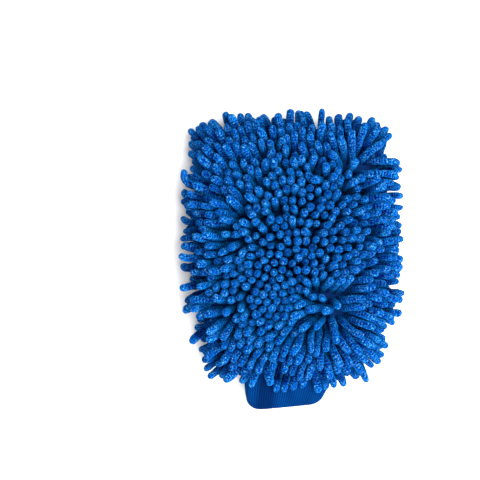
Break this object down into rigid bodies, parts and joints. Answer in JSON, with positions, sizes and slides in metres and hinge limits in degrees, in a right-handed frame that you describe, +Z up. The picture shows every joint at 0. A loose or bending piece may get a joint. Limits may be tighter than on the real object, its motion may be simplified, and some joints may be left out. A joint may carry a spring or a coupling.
{
  "type": "wash mitt",
  "caption": "Flat chenille wash mitt with rows of soft pile fingers on both faces, a hand cavity between two knitted panels, and a ribbed wrist cuff.",
  "frame": {"origin": "on the floor under the middle of the bounding box, with the mitt lying flat on its back pile", "axes": "+Z up through the thickness, +Y towards the fingertips, cuff towards -Y, +X across the hand"},
  "size_m": [0.197, 0.2675, 0.058],
  "materials": {
    "chenille": "soft microfibre chenille with a light sheen",
    "ground_cloth": "matte knit",
    "rib_knit": "matte rib knit",
    "seam_thread": "matte thread"
  },
  "bodies": {
    "root": {"back_backing": "ground_cloth", "front_backing": "ground_cloth", "side_seam": "seam_thread", "cuff": "rib_knit", "cuff_seam": "seam_thread", "back_row_01": "chenille", "back_row_02": "chenille", "back_row_03": "chenille", "back_row_04": "chenille", "back_row_05": "chenille", "back_row_06": "chenille", "back_row_07": "chenille", "back_row_08": "chenille", "back_row_09": "chenille", "back_row_10": "chenille", "back_row_11": "chenille", "back_row_12": "chenille", "back_row_13": "chenille", "back_row_14": "chenille", "back_row_15": "chenille", "back_row_16": "chenille", "back_row_17": "chenille", "back_row_18": "chenille", "back_row_19": "chenille", "back_row_20": "chenille", "back_row_21": "chenille", "back_row_22": "chenille", "back_row_23": "chenille", "back_row_24": "chenille", "front_row_01": "chenille", "front_row_02": "chenille", "front_row_03": "chenille", "front_row_04": "chenille", "front_row_05": "chenille", "front_row_06": "chenille", "front_row_07": "chenille", "front_row_08": "chenille", "front_row_09": "chenille", "front_row_10": "chenille", "front_row_11": "chenille", "front_row_12": "chenille", "front_row_13": "chenille", "front_row_14": "chenille", "front_row_15": "chenille", "front_row_16": "chenille", "front_row_17": "chenille", "front_row_18": "chenille", "front_row_19": "chenille", "front_row_20": "chenille", "front_row_21": "chenille", "front_row_22": "chenille", "front_row_23": "chenille", "front_row_24": "chenille"}
  },
  "joints": []
}
